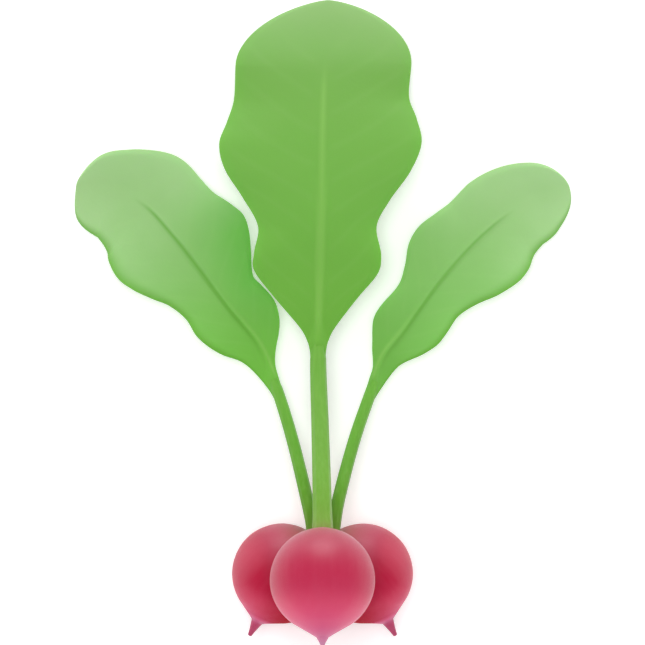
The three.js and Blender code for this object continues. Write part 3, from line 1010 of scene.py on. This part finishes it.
leafTones = {  # each tone's colour and how much of it is laid over the base
    # painted shade on the half of a leaf towards the middle of the bunch
    "inner": rgb(108, 184, 78),
    "patch": rgb(96, 164, 58),
    "patchAmount": 0.1,
    # painted shade along the lower margin
    "rim": rgb(96, 160, 44),
    "rimShadeAmount": 0.85,
    # painted sheen along the upper margin
    "upperSheen": rgb(178, 218, 156),
    "upperMarginAmount": 0.4,
    "vein": rgb(176, 214, 140),
    "veinAmount": 0.03,
    "ribLit": rgb(160, 210, 110),
    "ribLitAmount": 0.36,
    "ribDeep": rgb(88, 156, 44),
    # from where each tone starts to where it is full: across in half widths, along in lengths
    "innerAcross": (0.1, -0.75),
    "innerRise": (0.12, 0.34),
    "innerFall": (0.72, 0.5),
    "rimAcross": (0.76, 0.98),
    "upperMarginAcross": (-0.2, -0.9),
    "upperMarginAlong": (0.5, 0.75),
    "patchRange": (0.35, 0.75),
    "patchScale": 70.0,
    "poreScale": 900.0,
    "poreBump": 0.06,
    "poreDepth": 0.0002,
}


def leafMaterial(name):
    look, tones = leafLook[name], leafTones
    material, tree, shader = newMaterial(
        name + "LeafSkin",
        0.55,
        Sheen_Weight=0.07,
        Sheen_Roughness=0.4,
        Subsurface_Weight=0.15,
        Subsurface_Radius=(0.4, 1.0, 0.2),
        Subsurface_Scale=0.001,
        Specular_IOR_Level=0.28,
    )
    along = node(tree, "ShaderNodeAttribute", attribute_name="leafAlong").outputs["Fac"]
    across = node(tree, "ShaderNodeAttribute", attribute_name="leafAcross").outputs["Fac"]
    vein = node(tree, "ShaderNodeAttribute", attribute_name="leafVein").outputs["Fac"]
    rib = node(tree, "ShaderNodeAttribute", attribute_name="leafRib").outputs["Fac"]
    base = ramp(tree, along, look["stops"])
    if look["innerShadeAmount"]:
        # painted shade on the inner half
        inner = mapRange(tree, across, *tones["innerAcross"])
        inner = times(tree, inner, mapRange(tree, along, *tones["innerRise"]))
        inner = times(tree, inner, mapRange(tree, along, *tones["innerFall"], 0, look["innerShadeAmount"]))
        base = blendColour(tree, inner, base, tones["inner"])
    place = node(tree, "ShaderNodeTexCoord").outputs["Object"]
    patches = noiseOver(tree, place, tones["patchScale"], 3)
    patches = mapRange(tree, patches, *tones["patchRange"], 0, tones["patchAmount"])
    base = blendColour(tree, patches, base, tones["patch"])
    lowSide = times(tree, across, look["lowerSide"])
    # painted shade along the lower margin
    rim = mapRange(tree, lowSide, *tones["rimAcross"], 0, tones["rimShadeAmount"])
    base = blendColour(tree, times(tree, rim, rim), base, tones["rim"])
    # painted sheen along the upper margin
    highSide = mapRange(tree, lowSide, *tones["upperMarginAcross"], 0, tones["upperMarginAmount"])
    highSide = times(tree, highSide, mapRange(tree, along, *tones["upperMarginAlong"]))
    base = blendColour(tree, highSide, base, tones["upperSheen"])
    base = blendColour(tree, mapRange(tree, vein, 0, 1, 0, tones["veinAmount"]), base, tones["vein"])
    base = blendColour(tree, mapRange(tree, rib, 0, 1.5, 0, tones["ribLitAmount"]), base, tones["ribLit"])
    base = blendColour(tree, mapRange(tree, rib, 0, -1, 0, look["ribShade"]), base, tones["ribDeep"])
    tree.links.new(base, shader.inputs["Base Color"])
    pores = node(tree, "ShaderNodeTexVoronoi", {"Vector": place, "Scale": tones["poreScale"]})
    pores = pores.outputs["Distance"]
    given = {"Height": pores, "Strength": tones["poreBump"], "Distance": tones["poreDepth"]}
    bump = node(tree, "ShaderNodeBump", given)
    tree.links.new(bump.outputs[0], shader.inputs["Normal"])
    return material


# making the bunch

stemSkins = {kind: stemMaterial(kind) for kind in stemStops}
tubeTree = stemTree()
for name, plant in plants.items():
    root = roots[name]
    kind = "top" if name == "top" else "side"
    root["neckRadius"] = plant["stem"]["radius"]["foot"] + rootShape["neckMargin"]
    spine = Spine(root, plant)
    made = (
        (rootPiece(name + "Radish", root, rootMaterial(name, root["side"])), name + "_radish", "root_skin"),
        (stemPiece(name + "Stem", spine, plant, tubeTree, stemSkins[kind]), name + "_stem", "stem_skin"),
        (leafPiece(name + "Leaf", spine, plant, leafMaterial(name)), name + "_leaf", "leaf_skin"),
    )
    for piece, stoodFor, finish in made:
        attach(piece, "root")
        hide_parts(stoodFor)
    print(name, "radish made:", [len(piece.data.polygons) for piece, _, _ in made], "faces")


# table, lights and camera

studio = {
    "floorSize": 6.0,
    "floorDrop": 0.0002,  # how far the table lies under the bunch
    "floorColour": (0.95, 0.95, 0.95, 1),
    "cameraHeight": 1.5,
    "fieldWidth": 0.1935,  # what the camera sees across, at fieldHeight
    "fieldHeight": 0.015,
    "aimBack": 0.00105,  # how far behind the middle of the bunch the camera aims
    "sensorWidth": 36,
    "worldStrength": 0.3,
    "floorGlow": 0.28,  # keeps the shadows on the table pale
}

floorMesh = bpy.data.meshes.new("table")
half = studio["floorSize"] / 2
drop = -studio["floorDrop"]
corners = [(-half, -half, drop), (half, -half, drop), (half, half, drop), (-half, half, drop)]
floorMesh.from_pydata(corners, [], [(0, 1, 2, 3)])
floor = bpy.data.objects.new("table", floorMesh)
bpy.context.scene.collection.objects.link(floor)
paper, paperTree, paperShader = newMaterial("paleTable", 0.9, Specular_IOR_Level=0.1)
paperShader.inputs["Base Color"].default_value = studio["floorColour"]
paperShader.inputs["Emission Color"].default_value = (1, 1, 1, 1)
paperShader.inputs["Emission Strength"].default_value = studio["floorGlow"]
floorMesh.materials.append(paper)


lights = {  # a fill lights the bunch without showing as a highlight
    "farKey": {"place": (0.03, 1.3, 0.3), "aim": (0, -0.04, 0.03), "size": 1.0, "power": 11, "fill": False},
    "topFill": {"place": (-0.1, 0.1, 1.9), "aim": (0, 0, 0), "size": 1.1, "power": 18, "fill": True},
    "nearFill": {"place": (0, -1.3, 0.6), "aim": (0, 0, 0.02), "size": 1.0, "power": 4.3, "fill": True},
    "leftEdge": {"place": (-1.2, 0.1, 0.3), "aim": (0, -0.05, 0.02), "size": 0.6, "power": 3, "fill": True},
    "rightEdge": {"place": (1.2, 0.1, 0.3), "aim": (0, -0.05, 0.02), "size": 0.6, "power": 3, "fill": True},
}


def softLight(name, place, aim, size, power, fill):
    data = bpy.data.lights.new(name, "AREA")
    data.shape = "DISK"
    data.size, data.energy = size, power
    light = bpy.data.objects.new(name, data)
    light.visible_glossy = not fill
    light.location = place
    light.rotation_euler = (Vector(aim) - Vector(place)).to_track_quat("-Z", "Y").to_euler()
    bpy.context.scene.collection.objects.link(light)


for name, light in lights.items():
    softLight(name, **light)

world = bpy.data.worlds.new("studio")
bpy.context.scene.world = world
world.use_nodes = True
world.node_tree.nodes["Background"].inputs["Color"].default_value = (1, 1, 1, 1)
world.node_tree.nodes["Background"].inputs["Strength"].default_value = studio["worldStrength"]
bpy.context.scene.view_settings.view_transform = "Standard"

lens = bpy.data.cameras.new("camera")
lens.sensor_width = studio["sensorWidth"]
lens.lens = studio["sensorWidth"] * (studio["cameraHeight"] - studio["fieldHeight"]) / studio["fieldWidth"]
lens.clip_start, lens.clip_end = 0.05, 20
camera = bpy.data.objects.new("camera", lens)
camera.location = (roots["top"]["centre"].x * mm, -studio["aimBack"], studio["cameraHeight"])
bpy.context.scene.collection.objects.link(camera)
bpy.context.scene.camera = camera
print("studio set")
